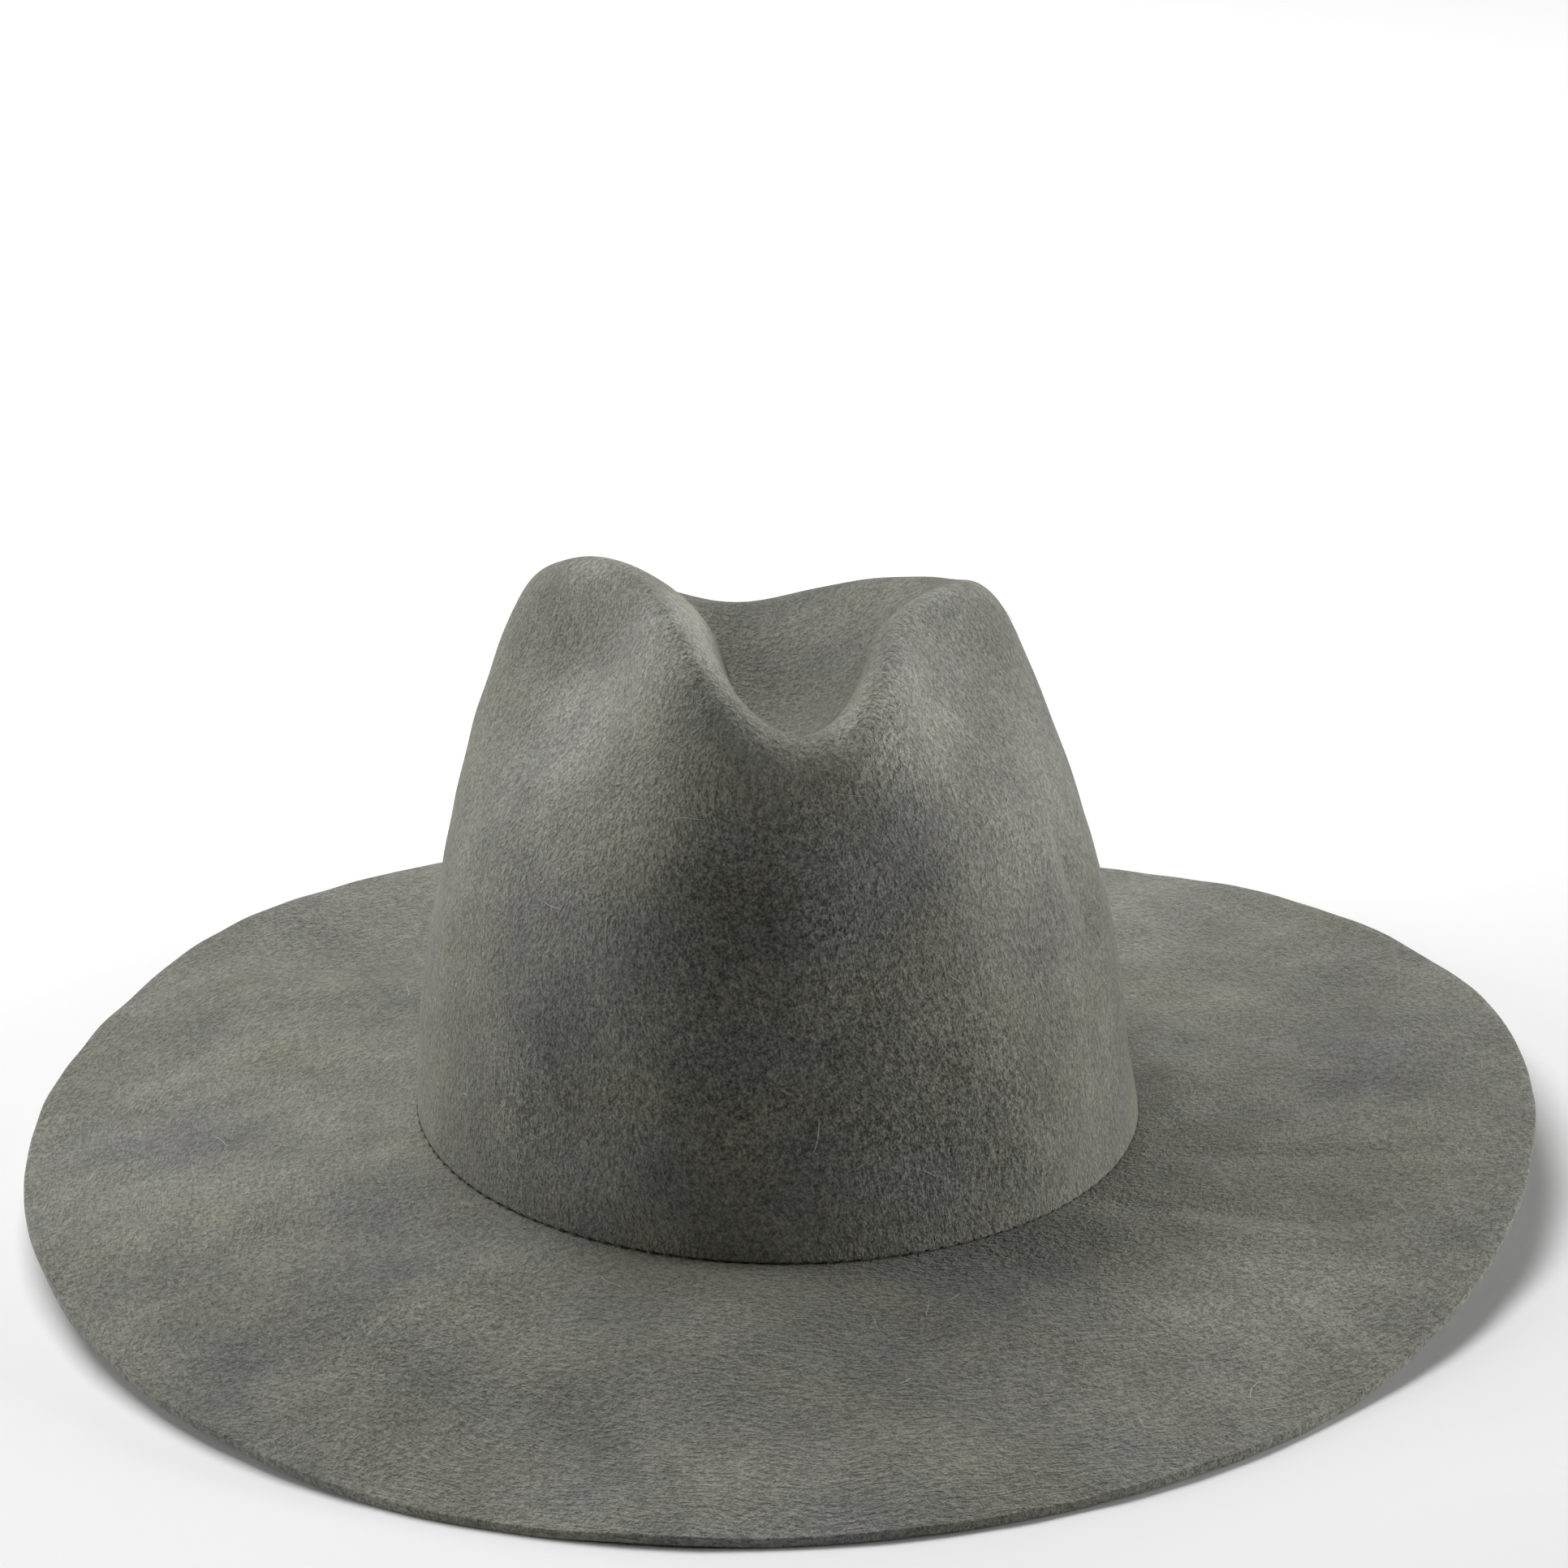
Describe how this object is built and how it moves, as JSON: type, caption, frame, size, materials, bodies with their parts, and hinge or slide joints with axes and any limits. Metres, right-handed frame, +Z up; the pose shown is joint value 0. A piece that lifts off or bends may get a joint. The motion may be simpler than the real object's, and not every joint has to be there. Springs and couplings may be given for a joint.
{
  "type": "felt fedora hat",
  "caption": "Soft felt hat with a centre-dented, front-pinched crown, wide wavy raw-edged brim, leather sweatband and satin lining.",
  "frame": {"origin": "centre of the hat's outline on the table it stands on", "axes": "+Z up, -Y towards the front of the hat (the pinched side), +X towards the wearer's left"},
  "size_m": [0.3587, 0.3925, 0.154],
  "materials": {
    "crown_felt": "brushed fur felt, matt",
    "brim_felt": "brushed fur felt, matt",
    "seam_thread": "twisted cotton thread",
    "sweatband_leather": "smooth roan leather, satin",
    "reed_plastic": "extruded",
    "reed_tape": "woven tape",
    "band_thread": "twisted polyester thread",
    "bow_ribbon": "grosgrain ribbon",
    "lining_satin": "satin",
    "lining_tip_satin": "satin",
    "piping_satin": "satin covered cord",
    "tag_paper": "plain woven tag, blank"
  },
  "bodies": {
    "root": {"crown": "crown_felt", "brim": "brim_felt", "seam_stitches": "seam_thread", "sweatband": "sweatband_leather", "sweatband_reed": "reed_plastic", "reed_tape": "reed_tape", "sweatband_stitches": "band_thread", "sweatband_back_lacing": "band_thread", "sweatband_bow": "bow_ribbon", "lining_side": "lining_satin", "lining_tip": "lining_tip_satin", "lining_piping": "piping_satin", "size_tag": "tag_paper"}
  },
  "joints": []
}
